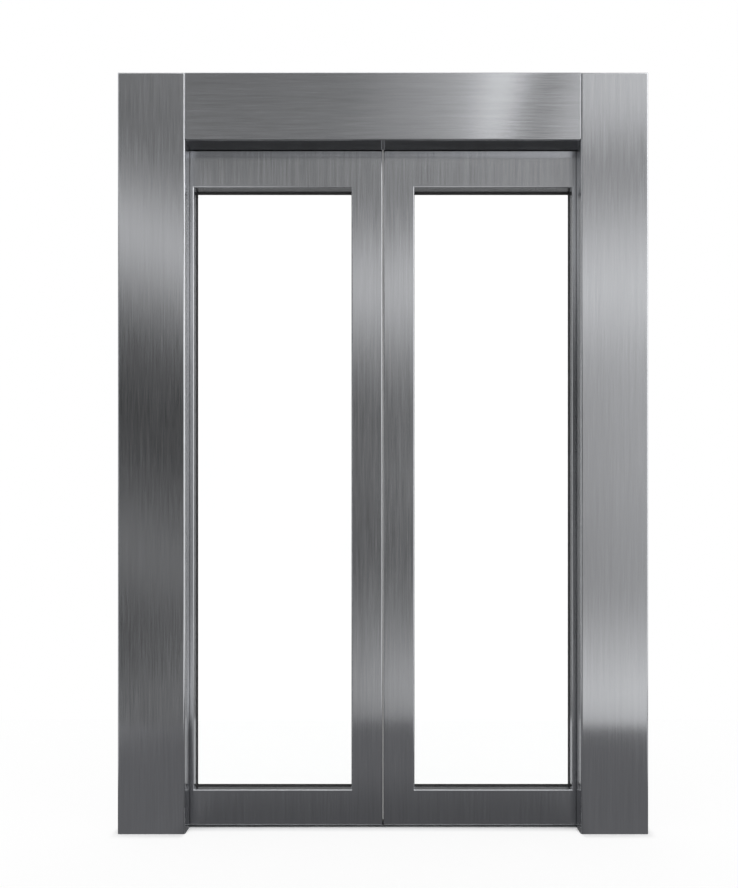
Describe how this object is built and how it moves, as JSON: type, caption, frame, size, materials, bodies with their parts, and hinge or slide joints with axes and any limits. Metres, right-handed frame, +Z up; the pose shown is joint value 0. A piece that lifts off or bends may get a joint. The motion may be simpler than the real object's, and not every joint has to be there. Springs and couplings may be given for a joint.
{
  "type": "centre-opening glass landing door",
  "caption": "Centre-opening sliding landing door of brushed stainless steel: a broad portal and two leaves with tall glass windows, hung from a track behind the header.",
  "frame": {"origin": "middle of the doorway at floor level, on the plane of the shaft wall and slab edge, which is the front face of the sill", "axes": "+X to the right seen from the landing, +Y into the shaft, +Z up"},
  "size_m": [1.61, 0.135, 2.4],
  "materials": {
    "portal_steel": "satin",
    "header_steel": "satin",
    "leaf_steel": "satin",
    "galvanised": "satin",
    "rail_steel": "satin",
    "aluminium": "satin",
    "glass": "polished",
    "rubber": "matte",
    "nylon": "satin",
    "wire_rope": "satin"
  },
  "bodies": {
    "frame": {"left_jamb": "portal_steel", "right_jamb": "portal_steel", "header_panel": "header_steel", "left_jamb_stiffener": "galvanised", "right_jamb_stiffener": "galvanised", "header_stiffener": "galvanised", "left_header_cleat": "galvanised", "right_header_cleat": "galvanised", "left_wall_anchors": "galvanised", "right_wall_anchors": "galvanised", "left_jamb_foot": "galvanised", "right_jamb_foot": "galvanised", "track_beam": "galvanised", "track_rail": "rail_steel", "rail_spacers": "rail_steel", "centre_stop": "galvanised", "left_end_stop": "galvanised", "right_end_stop": "galvanised", "pulley_brackets": "galvanised", "left_pulley": "nylon", "right_pulley": "nylon", "sync_rope": "wire_rope", "sill_front": "aluminium", "sill_groove": "aluminium", "sill_rear": "aluminium", "sill_brackets": "galvanised"},
    "left_leaf": {"left_leaf_skin": "leaf_steel", "left_leaf_back": "galvanised", "left_glass": "glass", "left_front_gasket": "rubber", "left_rear_gasket": "rubber", "left_meeting_seal": "rubber", "left_hanger": "galvanised", "left_rollers": "nylon", "left_guide_shoes": "nylon", "left_rope_clamp": "galvanised"},
    "right_leaf": {"right_leaf_skin": "leaf_steel", "right_leaf_back": "galvanised", "right_glass": "glass", "right_front_gasket": "rubber", "right_rear_gasket": "rubber", "right_meeting_seal": "rubber", "right_hanger": "galvanised", "right_rollers": "nylon", "right_guide_shoes": "nylon", "right_rope_clamp": "galvanised"}
  },
  "joints": [
    {"name": "left_slide", "type": "slide", "parent": "frame", "child": "left_leaf", "axis": [-1, 0, 0], "range_m": [0, 0.6]},
    {"name": "right_slide", "type": "slide", "parent": "frame", "child": "right_leaf", "axis": [1, 0, 0], "range_m": [0, 0.6]}
  ],
  "couplings": [
    {"joint": "right_slide", "follows": "left_slide", "ratio": 1}
  ]
}
